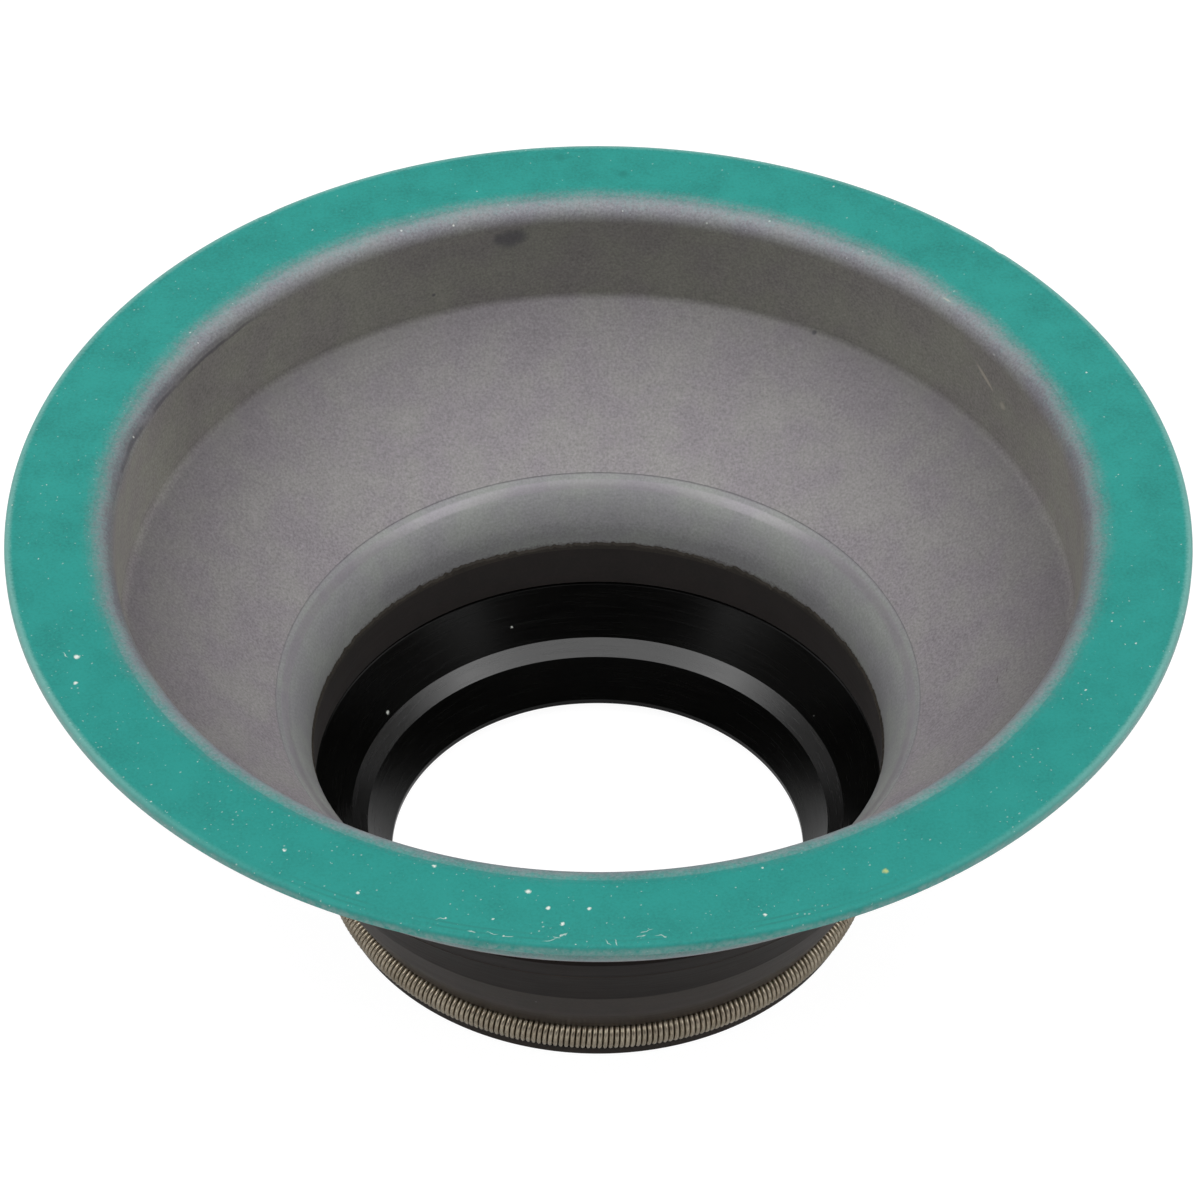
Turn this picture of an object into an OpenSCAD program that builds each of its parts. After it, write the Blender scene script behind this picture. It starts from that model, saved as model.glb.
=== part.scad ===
// Flanged oil seal: a pressed steel funnel with a sealant coat, a rubber lip bonded round
// its throat, and a garter spring in the lip's groove. It stands on the toe of the lip,
// with the flange on top.

/* [Flange] */
// Outer diameter of the flange, over the sealant
flange_d = 87; // [80:0.5:100]
// Thickness of the pressed sheet
sheet_t = 0.8; // [0.6:0.05:1.2]
// Rounding of the sheet's cut edge at the rim
rim_r = 0.2; // [0.05:0.05:0.25]
// Outside radius of the bend from the flange into the wall
flange_bend_r = 1.4; // [1.1:0.1:3]

/* [Press-fit wall] */
// Diameter that is pressed into the housing, over the sealant
fit_d = 72.9; // [70:0.1:76]
// Straight length of the wall between its two bends
wall_land = 7; // [4:0.1:12]
// Outside radius of the bend from the wall into the cone
wall_bend_r = 1.6; // [1.3:0.1:3]

/* [Funnel] */
// Slope of the cone below the horizontal, in degrees
cone_angle = 38.5; // [30:0.5:50]
// Inside diameter of the throat
throat_d = 43.7; // [42:0.1:46]
// Radius of the trumpet from the cone into the throat
throat_bend_r = 6.4; // [3:0.1:9]
// Straight end of the throat, held in the rubber
throat_land = 2.1; // [1:0.1:4]

/* [Sealant] */
// Thickness of the sealant coat
sealant_t = 0.1; // [0.05:0.05:0.2]
// Bare ring on the flange between the bend and the sealant
sealant_margin = 0.2; // [0.1:0.1:2]
// Bare length at the lower end of the wall
sealant_bare = 0.7; // [0.1:0.1:3]

/* [Lip, inside] */
// Thickness of the rubber that lines the end of the throat
lining_t = 0.15; // [0.1:0.05:0.5]
// Height of the rubber wall below the end of the sheet
heel_h = 2.3; // [1:0.1:4]
// Height of the flexing part's inner cone
flex_h = 3.4; // [2:0.1:5]
// Width of the ledge, measured towards the axis
ledge_w = 1.2; // [0.6:0.1:1.6]
// Fall of the ledge over its width
ledge_drop = 1; // [0.4:0.1:1.6]
// Width of the lip's air side, measured away from the axis
air_w = 1.8; // [1:0.1:2.6]
// Angle of the lip's air side to the shaft, in degrees
air_angle = 31; // [22:0.5:40]
// Free diameter of the sealing edge
lip_d = 32; // [28:0.1:35]
// Length of the flat on the sealing edge
edge_land = 0.4; // [0.2:0.1:0.8]
// Height of the lip's oil side
oil_face_h = 1.2; // [0.8:0.1:2]
// Angle of the lip's oil side to the shaft, in degrees
oil_angle = 45; // [30:1:60]

/* [Lip, outside] */
// How far the collar under the cone stands out past the throat
collar_w = 4.15; // [3:0.05:6]
// How far the waist beside the flexing part stands out past the throat
waist_w = 0.85; // [0.6:0.05:1.6]
// Depth of the waist below the flexing part's upper edge
waist_drop = 0.6; // [0.2:0.1:1.2]
// Angle of the sleeve to the shaft, in degrees
sleeve_angle = 24.8; // [20:0.2:32]
// How far the lip's head bulges between the waist and the groove
head_bulge = 0.25; // [0.05:0.05:0.5]
// Rounding of the lip's head
head_r = 6; // [2:0.5:10]
// How far the toe reaches out past the middle of the spring
toe_reach = 0.55; // [0:0.05:0.8]
// Rounding of the toe's edges
toe_r = 0.3; // [0.1:0.05:0.4]

/* [Garter spring] */
// Distance from the sealing edge out to the middle of the coil
spring_w = 4.15; // [4:0.05:5]
// Outer diameter of the coil
coil_d = 2.4; // [2:0.05:2.6]
// Diameter of the wire
wire_d = 0.37; // [0.34:0.01:0.6]
// Space between coils on the inside of the ring
coil_gap = 0.008; // [0:0.001:0.05]
// Height of the ring's middle above the middle of the sealing edge
spring_offset = 0.55; // [0.4:0.05:0.8]
// Clearance between the coil and its groove
groove_clearance = 0.05; // [0.02:0.01:0.15]
// How far the groove's upper edge stands out past the middle of the coil
brow_w = 0.45; // [0.2:0.05:0.9]

/* [Hidden] */

// Turned surfaces, and the turn of one step along a rounded corner
$fn = 180;
arc_step = 6;
// Flats round the coil
coil_sides = 8;

case_grey = [0.53, 0.52, 0.53];
sealant_green = [0.21, 0.60, 0.55];
rubber_black = [0.13, 0.12, 0.12];
spring_steel = [0.48, 0.44, 0.39];

// Radii of the sheet
rim = flange_d / 2 - sealant_t;
wall_out = fit_d / 2 - sealant_t;
wall_in = wall_out - sheet_t;
throat = throat_d / 2;

// Radii of the rubber
lining = throat - lining_t;
edge = lip_d / 2;
ledge_in = edge + air_w;
ledge_out = ledge_in + ledge_w;
toe_in = edge + oil_face_h * tan(oil_angle);
ring = edge + spring_w;
toe_out = ring + toe_reach;
brow = ring + brow_w;
collar = throat + collar_w;
waist = throat + waist_w;
groove_r = coil_d / 2 + groove_clearance;

// Heights of the rubber's inside, from the toe up
edge_top_z = oil_face_h + edge_land;
ledge_in_z = edge_top_z + air_w / tan(air_angle);
ledge_out_z = ledge_in_z + ledge_drop;
step_z = ledge_out_z + flex_h;

// Heights of the sheet, from its end in the rubber up to the flange's face
sheet_end_z = step_z + heel_h;
trumpet_z = sheet_end_z + throat_land;
throat_corner_z = trumpet_z + throat_bend_r * tan((90 - cone_angle) / 2);
wall_corner_z = throat_corner_z + (wall_in - throat) * tan(cone_angle);
wall_land_z = wall_corner_z + (wall_bend_r - sheet_t) * tan((90 - cone_angle) / 2);
face_z = wall_land_z + wall_land + flange_bend_r;

// Heights of the rubber's outside
spring_z = oil_face_h + edge_land / 2 + spring_offset;
brow_z = spring_z + sqrt(groove_r * groove_r - brow_w * brow_w);
waist_z = step_z - waist_drop;
collar_z = waist_z + (collar_w - waist_w) / tan(sleeve_angle);

// Coils in the ring
coil_mean_d = coil_d - wire_d;
coils = floor(PI * (2 * ring - coil_mean_d) / (wire_d + coil_gap));

function xy(p) = [p.x, p.y];
function unit(v) = v / norm(v);
function reversed(list) = [for (i = [len(list) - 1:-1:0]) list[i]];
function left_of(a, b) = let (d = unit(xy(b) - xy(a))) [-d.y, d.x];

// Points of one corner of an outline, as [x, y, rounding], between its neighbours a and b
function corner(a, p, b) =
    p[2] == 0 ? [xy(p)] :
    let (
        u = unit(xy(a) - xy(p)),
        v = unit(xy(b) - xy(p)),
        half = acos(u * v) / 2,
        centre = xy(p) + unit(u + v) * p[2] / sin(half),
        from = xy(p) + u * p[2] / tan(half) - centre,
        turn = (cross(u, v) < 0 ? 1 : -1) * (180 - 2 * half),
        start = atan2(from.y, from.x),
        steps = ceil(abs(turn) / arc_step)
    )
    [for (i = [0:steps]) centre + p[2] * [cos(start + turn * i / steps), sin(start + turn * i / steps)]];

// A closed outline with its corners rounded
function rounded(outline) =
    let (n = len(outline))
    [for (i = [0:n - 1]) each corner(outline[(i + n - 1) % n], outline[i], outline[(i + 1) % n])];

// A path of [x, y, rounding] moved to its left by d, with its bends kept concentric
function shifted(path, d) =
    let (last = len(path) - 1)
    [for (i = [0:last])
        let (
            before = left_of(path[max(i - 1, 0)], path[max(i, 1)]),
            after = left_of(path[min(i, last - 1)], path[min(i + 1, last)]),
            bent = cross(before, after),
            r = path[i][2] - (abs(bent) < 1e-6 ? 0 : sign(bent) * d),
            moved = xy(path[i]) + d * (before + after) / (1 + before * after)
        )
        [moved.x, moved.y, r]];

// The closed outline of a skin of thickness d on the left of a path
function skin(path, d) = rounded(concat(path, reversed(shifted(path, d))));

// The sheet's inner face, from the rim to the throat's end
case_path = [
    [rim, face_z, rim_r],
    [wall_in, face_z, flange_bend_r],
    [wall_in, wall_corner_z, wall_bend_r - sheet_t],
    [throat, throat_corner_z, throat_bend_r],
    [throat, sheet_end_z, 0],
];

// The faces of the sheet that carry sealant, from the flange's face round the rim and down the wall
sealant_path = [
    [wall_in + flange_bend_r + sealant_margin, face_z, 0],
    [rim, face_z, rim_r],
    [rim, face_z - sheet_t, rim_r],
    [wall_out, face_z - sheet_t, flange_bend_r - sheet_t],
    [wall_out, wall_land_z + sealant_bare, 0],
];

// The rubber's section. Its upper edge lies in the middle of the sheet that it is bonded to.
sheet_mid = shifted(case_path, sheet_t / 2);
throat_mid = sheet_mid[3];
head_mid = [(waist + brow) / 2 + head_bulge, (waist_z + brow_z) / 2];
lip_path = [
    [collar, throat_mid.y + (collar - throat_mid.x) * tan(cone_angle), 0],
    throat_mid,
    [throat_mid.x, trumpet_z - lining_t, 0],
    [throat, trumpet_z - lining_t, 0],
    [lining, trumpet_z - 2 * lining_t, 0],
    [lining, step_z, 0],
    [ledge_out, ledge_out_z, 0],
    [ledge_in, ledge_in_z, 0],
    [edge, edge_top_z, 0],
    [edge, oil_face_h, 0],
    [toe_in, 0, toe_r],
    [toe_out, 0, toe_r],
    [toe_out, spring_z, 0],
    [brow, brow_z, 0],
    [head_mid.x, head_mid.y, head_r],
    [waist, waist_z, 0],
    [collar, collar_z, toe_r],
];

module case_section() {
    polygon(skin(case_path, sheet_t));
}

module steel_case() {
    color(case_grey)
        rotate_extrude()
            case_section();
}

module sealant_coat() {
    color(sealant_green)
        rotate_extrude()
            polygon(skin(sealant_path, sealant_t));
}

module sealing_lip() {
    color(rubber_black)
        rotate_extrude()
            difference() {
                polygon(rounded(lip_path));
                case_section();
                translate([ring, spring_z])
                    circle(groove_r);
            }
}

// A point of the coil: step k along the helix, at radius r from the coil's middle, and
// moved on round the ring by a share of one coil
function coil_point(k, r, share) =
    let (
        round_coil = 360 * k / coil_sides,
        round_ring = 360 * (k / coil_sides + share) / coils,
        out = ring + r * cos(round_coil)
    )
    [out * cos(round_ring), out * sin(round_ring), spring_z + r * sin(round_coil)];

// One closed ridge wound round the ring: its crest follows the wire, and its valley
// lies where neighbouring coils touch
module garter_spring() {
    steps = coils * coil_sides;
    crest = [for (k = [0:steps - 1]) coil_point(k, coil_d / 2, 0)];
    valley = [for (k = [0:steps - 1]) coil_point(k, coil_mean_d / 2, 0.5)];
    faces = [for (k = [0:steps - 1])
        let (
            on = (k + 1) % steps,
            beside = (k + coil_sides) % steps,
            beside_on = (k + coil_sides + 1) % steps
        )
        each [
            [k, on, steps + k],
            [on, steps + on, steps + k],
            [steps + k, steps + on, beside],
            [steps + on, beside_on, beside],
        ]];
    color(spring_steel)
        polyhedron(concat(crest, valley), faces, convexity = 8);
}

steel_case();
sealant_coat();
sealing_lip();
garter_spring();
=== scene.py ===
import math

import bpy
from mathutils import Matrix, Vector, noise


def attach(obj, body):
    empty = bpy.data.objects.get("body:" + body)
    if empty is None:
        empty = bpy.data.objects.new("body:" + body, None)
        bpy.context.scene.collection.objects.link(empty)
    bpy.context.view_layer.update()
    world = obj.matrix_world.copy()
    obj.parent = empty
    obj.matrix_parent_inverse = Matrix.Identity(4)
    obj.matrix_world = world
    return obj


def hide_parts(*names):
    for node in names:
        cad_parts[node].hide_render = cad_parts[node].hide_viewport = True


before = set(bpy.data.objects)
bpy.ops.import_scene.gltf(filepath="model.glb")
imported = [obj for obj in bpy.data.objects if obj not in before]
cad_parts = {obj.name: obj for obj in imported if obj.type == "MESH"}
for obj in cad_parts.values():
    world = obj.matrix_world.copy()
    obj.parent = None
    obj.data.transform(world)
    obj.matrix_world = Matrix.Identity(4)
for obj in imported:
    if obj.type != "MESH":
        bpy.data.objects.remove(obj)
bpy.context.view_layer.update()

# Driving sizes of the seal in millimetres, the same as those of the solids
MM = 0.001
FLANGE_D = 87
SHEET_T = 0.8
RIM_R = 0.2
FLANGE_BEND_R = 1.4
FIT_D = 72.9
WALL_LAND = 7
WALL_BEND_R = 1.6
CONE_ANGLE = math.radians(38.5)
THROAT_D = 43.7
THROAT_BEND_R = 6.4
THROAT_LAND = 2.1
SEALANT_T = 0.1
SEALANT_MARGIN = 0.2
SEALANT_BARE = 0.7
LINING_T = 0.15
HEEL_H = 2.3
FLEX_H = 3.4
LEDGE_W = 1.2
LEDGE_DROP = 1
AIR_W = 1.8
AIR_ANGLE = math.radians(31)
LIP_D = 32
EDGE_LAND = 0.4
OIL_FACE_H = 1.2
OIL_ANGLE = math.radians(45)
COLLAR_W = 4.15
WAIST_W = 0.85
WAIST_DROP = 0.6
SLEEVE_ANGLE = math.radians(24.8)
HEAD_BULGE = 0.25
HEAD_R = 6
TOE_REACH = 0.55
TOE_R = 0.3
SPRING_W = 4.15
COIL_D = 2.4
WIRE_D = 0.37
COIL_GAP = 0.008
SPRING_OFFSET = 0.55
GROOVE_CLEARANCE = 0.05
BROW_W = 0.45

# Radii that follow from them
rim = FLANGE_D / 2 - SEALANT_T
wall_out = FIT_D / 2 - SEALANT_T
wall_in = wall_out - SHEET_T
throat = THROAT_D / 2
lining = throat - LINING_T
edge = LIP_D / 2
ledge_in = edge + AIR_W
ledge_out = ledge_in + LEDGE_W
toe_in = edge + OIL_FACE_H * math.tan(OIL_ANGLE)
ring = edge + SPRING_W
toe_out = ring + TOE_REACH
brow = ring + BROW_W
collar = throat + COLLAR_W
waist = throat + WAIST_W
groove_r = COIL_D / 2 + GROOVE_CLEARANCE

# Heights that follow from them, from the toe up
half_bend = math.tan((math.pi / 2 - CONE_ANGLE) / 2)
edge_top_z = OIL_FACE_H + EDGE_LAND
ledge_in_z = edge_top_z + AIR_W / math.tan(AIR_ANGLE)
ledge_out_z = ledge_in_z + LEDGE_DROP
step_z = ledge_out_z + FLEX_H
sheet_end_z = step_z + HEEL_H
trumpet_z = sheet_end_z + THROAT_LAND
throat_corner_z = trumpet_z + THROAT_BEND_R * half_bend
wall_corner_z = throat_corner_z + (wall_in - throat) * math.tan(CONE_ANGLE)
wall_land_z = wall_corner_z + (WALL_BEND_R - SHEET_T) * half_bend
face_z = wall_land_z + WALL_LAND + FLANGE_BEND_R
flange_z = face_z + SEALANT_T
spring_z = OIL_FACE_H + EDGE_LAND / 2 + SPRING_OFFSET
brow_z = spring_z + math.sqrt(groove_r ** 2 - BROW_W ** 2)
waist_z = step_z - WAIST_DROP
collar_z = waist_z + (COLLAR_W - WAIST_W) / math.tan(SLEEVE_ANGLE)
flash_top = trumpet_z - LINING_T

# Fineness: steps round the axis, and the largest gap between a rounding and its chords
CASE_TURNS = 768
COAT_TURNS = 1024
LIP_TURNS = 1024
CHORD_GAP = 0.003

# The largest turn that counts as straight, and the direction of the axis
STRAIGHT = 1e-6
UP = (0.0, 0.0, 1.0)


# Outlines in the plane of the axis. A corner is (radius, height, rounding), a point (radius, height, sharp).

def unit(v):
    length = math.hypot(*v)
    return (v[0] / length, v[1] / length)


def toward(a, b):
    return unit((b[0] - a[0], b[1] - a[1]))


def arc(centre, radius, start, turn):
    """The points of a rounding."""
    steps = math.ceil(abs(turn) / (2 * math.acos(1 - CHORD_GAP / radius)))
    angles = [start + turn * i / steps for i in range(steps + 1)]
    return [(centre[0] + radius * math.cos(a), centre[1] + radius * math.sin(a), False) for a in angles]


def corner(before, point, after):
    """The points of one corner of an outline."""
    r, z, rounding = point
    if not rounding:
        return [(r, z, True)]
    u, v = toward(point, before), toward(point, after)
    half = math.acos(u[0] * v[0] + u[1] * v[1]) / 2
    middle = unit((u[0] + v[0], u[1] + v[1]))
    reach = rounding / math.sin(half)
    centre = (r + middle[0] * reach, z + middle[1] * reach)
    run = rounding / math.tan(half)
    start = math.atan2(z + u[1] * run - centre[1], r + u[0] * run - centre[0])
    turn = math.copysign(math.pi - 2 * half, u[1] * v[0] - u[0] * v[1])
    return arc(centre, rounding, start, turn)


def bent(path):
    """The points of an open path with its corners rounded."""
    points = [(*path[0][:2], True)]
    for before, point, after in zip(path, path[1:], path[2:]):
        points += corner(before, point, after)
    return points + [(*path[-1][:2], True)]


def shifted(path, distance):
    """A path moved to its left, with its bends kept concentric."""
    lefts = [(-d[1], d[0]) for d in map(toward, path, path[1:])]
    moved = []
    for i, (r, z, rounding) in enumerate(path):
        a, b = lefts[max(i - 1, 0)], lefts[min(i, len(lefts) - 1)]
        turn = a[0] * b[1] - a[1] * b[0]
        share = distance / (1 + a[0] * b[0] + a[1] * b[1])
        if abs(turn) > STRAIGHT:
            rounding -= math.copysign(distance, turn)
        moved.append((r + (a[0] + b[0]) * share, z + (a[1] + b[1]) * share, rounding))
    return moved


# Meshes

def piece(name, verts, faces, materials, face_slots, sharp_edge, node):
    """A smooth mesh in metres that stands for one node of the frame."""
    mesh = bpy.data.meshes.new(name)
    mesh.from_pydata(verts, [], faces)
    for material in materials:
        mesh.materials.append(material)
    mesh.polygons.foreach_set("material_index", face_slots)
    mesh.polygons.foreach_set("use_smooth", [True] * len(faces))
    mesh.edges.foreach_set("use_edge_sharp", [sharp_edge(*e.vertices) for e in mesh.edges])
    mesh.update()
    obj = bpy.data.objects.new(name, mesh)
    bpy.context.scene.collection.objects.link(obj)
    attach(obj, "root")
    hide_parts(node)


def lathe(name, strips, turns, shape, node):
    """Turns a closed outline round the axis. A strip is (material, points), and each runs on to the first
    point of the next one. shape(radius, height, angle) may move a point a little."""
    materials = list(dict.fromkeys(material for material, points in strips))
    outline = [p for material, points in strips for p in points]
    strip_slots = [materials.index(material) for material, points in strips for p in points]
    count = len(outline)
    verts = []
    for t in range(turns):
        angle = 2 * math.pi * t / turns
        for r, z, _ in outline:
            r, z = shape(r, z, angle)
            verts.append((r * math.cos(angle) * MM, r * math.sin(angle) * MM, z * MM))
    faces = []
    for t in range(turns):
        here, there = t * count, (t + 1) % turns * count
        for i in range(count):
            n = (i + 1) % count
            faces.append((here + i, there + i, there + n, here + n))

    def sharp_edge(a, b):
        return a % count == b % count and outline[a % count][2]

    piece(name, verts, faces, materials, strip_slots * turns, sharp_edge, node)


# Nodes of the finishes. A mark is full over a share of its reach, and fades out over the rest.
MARK_CORE = 0.25
NOISE_DETAIL = 2.0
NOISE_MIDDLE = 0.5


class Bench:
    """Lays nodes in one tree and joins them."""

    def __init__(self, tree):
        self.tree = tree

    def put(self, socket, value):
        if isinstance(value, bpy.types.NodeSocket):
            self.tree.links.new(value, socket)
        else:
            socket.default_value = value

    def lay(self, kind, inputs=(), **settings):
        node = self.tree.nodes.new(kind)
        for key, value in settings.items():
            setattr(node, key, value)
        for key, value in dict(inputs).items():
            self.put(node.inputs[key], value)
        return node

    def sum(self, operation, *values):
        node = self.lay("ShaderNodeMath", operation=operation)
        for socket, value in zip(node.inputs, values):
            self.put(socket, value)
        return node.outputs[0]

    def fold(self, operation, values):
        result = values[0]
        for value in values[1:]:
            result = self.sum(operation, result, value)
        return result

    def vector(self, operation, first, second):
        """Arithmetic on places: a place, or a number for a distance or a dot product."""
        node = self.lay("ShaderNodeVectorMath", {0: first}, operation=operation)
        self.put(node.inputs["Scale" if operation == "SCALE" else 1], second)
        return node.outputs["Value" if operation in ("DISTANCE", "DOT_PRODUCT") else "Vector"]

    def times(self, *values):
        return self.fold("MULTIPLY", values)

    def plus(self, *values):
        return self.fold("ADD", values)

    def rise(self, value, low, high, to=1.0):
        """0 where the value is low, climbing smoothly to `to` where it is high."""
        inputs = {"Value": value, "From Min": low, "From Max": high, "To Max": to}
        return self.lay("ShaderNodeMapRange", inputs, interpolation_type="SMOOTHSTEP").outputs["Result"]

    def band(self, value, middle, half_width):
        """1 where the value is at the middle, 0 beyond the half width."""
        away = self.sum("ABSOLUTE", self.sum("SUBTRACT", value, middle))
        return self.rise(away, half_width, half_width * MARK_CORE)

    def cloud(self, place, size, detail=NOISE_DETAIL, roughness=0.5):
        """Noise around 0 with lumps of about that size in millimetres."""
        inputs = {"Vector": place, "Scale": 1 / size, "Detail": detail, "Roughness": roughness}
        return self.sum("SUBTRACT", self.lay("ShaderNodeTexNoise", inputs).outputs["Fac"], NOISE_MIDDLE)

    def shoved(self, place, amount, far):
        """A place shoved aside by an amount, so that marks drawn by it have torn edges."""
        return self.vector("ADD", place, self.times(amount, far))

    def blend(self, kind, share, under, over):
        """A mix of two colours, which a mix node takes in its sockets 6 and 7 and gives from its socket 2."""
        node = self.lay("ShaderNodeMix", data_type="RGBA", blend_type=kind)
        for index, value in ((0, share), (6, under), (7, over)):
            self.put(node.inputs[index], value)
        return node.outputs[2]

    def tint(self, mask, under, over):
        return self.blend("MIX", mask, under, over)

    def brighten(self, colour, amount):
        """A colour times a value or another colour."""
        return self.blend("MULTIPLY", 1.0, colour, amount)

    def give(self, sockets, values):
        for label, value in values.items():
            self.put(sockets[label], value)

    def use(self, group, **inputs):
        """A node group with its inputs, which are written with _ for a space."""
        node = self.lay("ShaderNodeGroup", node_tree=group)
        self.give(node.inputs, {label.replace("_", " "): value for label, value in inputs.items()})
        return node.outputs


# Values that show what kind of socket an effect has
NUMBER = 0.0
ORIGIN = (0.0, 0.0, 0.0)
BLACK = (0.0, 0.0, 0.0, 1.0)


def effect(name, inputs, outputs):
    """An empty node group with its bench, its given values and its results. Each socket is named with a value
    of its kind: a number, a place or a colour."""
    tree = bpy.data.node_groups.new(name, "ShaderNodeTree")
    kinds = {0: "NodeSocketFloat", 3: "NodeSocketVector", 4: "NodeSocketColor"}
    for way, sockets in (("INPUT", inputs), ("OUTPUT", outputs)):
        for label, value in sockets.items():
            kind = kinds[0 if isinstance(value, float) else len(value)]
            tree.interface.new_socket(label, in_out=way, socket_type=kind)
    given = tree.nodes.new("NodeGroupInput").outputs
    results = tree.nodes.new("NodeGroupOutput").inputs
    return tree, Bench(tree), given, results


def rgb(red, green, blue):
    """A colour written as it shows on a screen, 0 to 255, as the linear values that a shader takes."""
    values = [v / 255 for v in (red, green, blue)]
    return tuple(v / 12.92 if v <= 0.04045 else ((v + 0.055) / 1.055) ** 2.4 for v in values) + (1.0,)


STEEL_GREY = rgb(137, 133, 135)
# Painted shade: the steel's grey as it shows darkened and browned on the wall
WALL_SHADE_GREY = rgb(118, 116, 111)
# Painted highlight: the pale lilac of the flange's bend
FILLET_HIGHLIGHT_LILAC = rgb(122, 122, 127)
OUTER_GREY = rgb(128, 128, 132)
BAND_GREY = rgb(142, 140, 143)
CREASE_GREY = rgb(122, 121, 123)
THROAT_GREY = rgb(138, 139, 139)
FILM_OLIVE = rgb(52, 48, 42)
SMUDGE_BLUE = rgb(60, 60, 68)
STROKE_LILAC = rgb(74, 71, 78)
SCRATCH_BROWN = rgb(78, 74, 70)
RUB_PALE = rgb(182, 174, 160)
FRAY_WHITE = rgb(172, 172, 179)
SEALANT_GREEN = rgb(45, 146, 137)
SEALANT_DEEP = rgb(36, 119, 111)
# Painted shade: the deeper green of the sealant's front
SEALANT_FRONT_SHADE = rgb(8, 126, 118)
SEALANT_THIN = rgb(122, 150, 148)
SEALANT_WORN = rgb(146, 184, 178)
SEALANT_YELLOW = rgb(196, 200, 118)
WIRE_DULL = rgb(148, 136, 118)
WIRE_BRIGHT = rgb(202, 191, 172)
DUST_WHITE = rgb(226, 230, 222)
LILAC_CAST = (1.01, 0.99, 1.025, 1.0)
OLIVE_CAST = (0.99, 1.01, 0.97, 1.0)


# Effects that the finishes share, each a node group. A range is (from, to) or (from, to, change) of a radius
# or a height in millimetres, of a noise, or of how far a place lies to the back, the right or the side.

def place_on_seal():
    """Where a point lies on the seal, in mm and radians. Back is 1 at the back and -1 in front, Right is 1 at
    the right, Side is 1 at both sides, and Turned is the place along the turned lines of the surface."""
    tree, bench, _, results = effect("place_on_seal", {}, {
        "Radius": NUMBER, "Height": NUMBER, "Angle": NUMBER, "Back": NUMBER, "Right": NUMBER, "Side": NUMBER,
        "Place": ORIGIN, "Turned": ORIGIN})
    spot = bench.lay("ShaderNodeTexCoord").outputs["Object"]
    place = bench.vector("SCALE", spot, 1 / MM)
    axes = bench.lay("ShaderNodeSeparateXYZ", {0: place}).outputs
    square = bench.plus(bench.times(axes["X"], axes["X"]), bench.times(axes["Y"], axes["Y"]))
    radius = bench.sum("SQRT", square)
    angle = bench.sum("ARCTAN2", axes["Y"], axes["X"])
    right = bench.sum("COSINE", angle)
    bench.give(results, {
        "Radius": radius, "Height": axes["Z"], "Angle": angle, "Right": right, "Place": place,
        "Back": bench.sum("SINE", angle), "Side": bench.sum("ABSOLUTE", right),
        "Turned": bench.lay("ShaderNodeCombineXYZ", {0: radius, 1: axes["Z"], 2: angle}).outputs[0]})
    return tree


GRAIN_ROUGHNESS = 0.65


def fine_grain():
    """Salt-and-pepper grain and slower clouds, both around 0."""
    tree, bench, given, results = effect(
        "fine_grain", {"Place": ORIGIN, "Grain size": NUMBER, "Cloud size": NUMBER},
        {"Grain": NUMBER, "Cloud": NUMBER})
    for label in ("Grain", "Cloud"):
        inputs = {"Vector": given["Place"], "Scale": bench.sum("DIVIDE", 1.0, given[label + " size"]),
                  "Detail": NOISE_DETAIL, "Roughness": GRAIN_ROUGHNESS}
        lumps = bench.lay("ShaderNodeTexNoise", inputs).outputs["Fac"]
        bench.put(results[label], bench.sum("SUBTRACT", lumps, NOISE_MIDDLE))
    return tree


# How the sizes of specks are spread, the least one in millimetres, and the share of one that is full
SPECK_SPREAD = (-0.2, 1.2)
SPECK_LEAST = 0.004
SPECK_CORE = 0.5


def dust():
    """Small specks, some spacing apart. Share is how many of the places hold one."""
    tree, bench, given, results = effect(
        "dust", {"Place": ORIGIN, "Spacing": NUMBER, "Speck": NUMBER, "Share": NUMBER}, {"Mask": NUMBER})
    inputs = {"Vector": given["Place"], "Scale": bench.sum("DIVIDE", 1.0, given["Spacing"])}
    cells = bench.lay("ShaderNodeTexVoronoi", inputs)
    chance = bench.lay("ShaderNodeSeparateColor", {0: cells.outputs["Color"]}).outputs
    reach = bench.times(cells.outputs["Distance"], given["Spacing"])
    size = bench.plus(bench.times(given["Speck"], bench.rise(chance["Green"], *SPECK_SPREAD)), SPECK_LEAST)
    near = bench.rise(bench.sum("DIVIDE", reach, size), 1.0, SPECK_CORE)
    held = bench.sum("LESS_THAN", chance["Red"], given["Share"])
    bench.put(results["Mask"], bench.times(near, held))
    return tree


def single_spot():
    """One round spot: 1 at its middle, 0 beyond its reach."""
    tree, bench, given, results = effect(
        "single_spot", {"Place": ORIGIN, "Spot": ORIGIN, "Reach": NUMBER}, {"Mask": NUMBER})
    away = bench.vector("DISTANCE", given["Place"], given["Spot"])
    bench.put(results["Mask"], bench.rise(bench.sum("DIVIDE", away, given["Reach"]), 1.0, MARK_CORE))
    return tree


STREAK_CORE = 0.35


def single_streak():
    """One streak: 1 at its middle, 0 beyond its reach. Stretch near 1 draws it out along a direction."""
    tree, bench, given, results = effect(
        "single_streak", {"Place": ORIGIN, "Spot": ORIGIN, "Along": ORIGIN, "Stretch": NUMBER,
                          "Reach": NUMBER}, {"Mask": NUMBER})
    away = bench.vector("SUBTRACT", given["Place"], given["Spot"])
    whole = bench.vector("DOT_PRODUCT", away, away)
    part = bench.vector("DOT_PRODUCT", away, given["Along"])
    left = bench.sum("SUBTRACT", whole, bench.times(part, part, given["Stretch"]))
    far = bench.sum("DIVIDE", bench.sum("SQRT", bench.sum("MAXIMUM", left, 0.0)), given["Reach"])
    bench.put(results["Mask"], bench.rise(far, 1.0, STREAK_CORE))
    return tree


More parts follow.
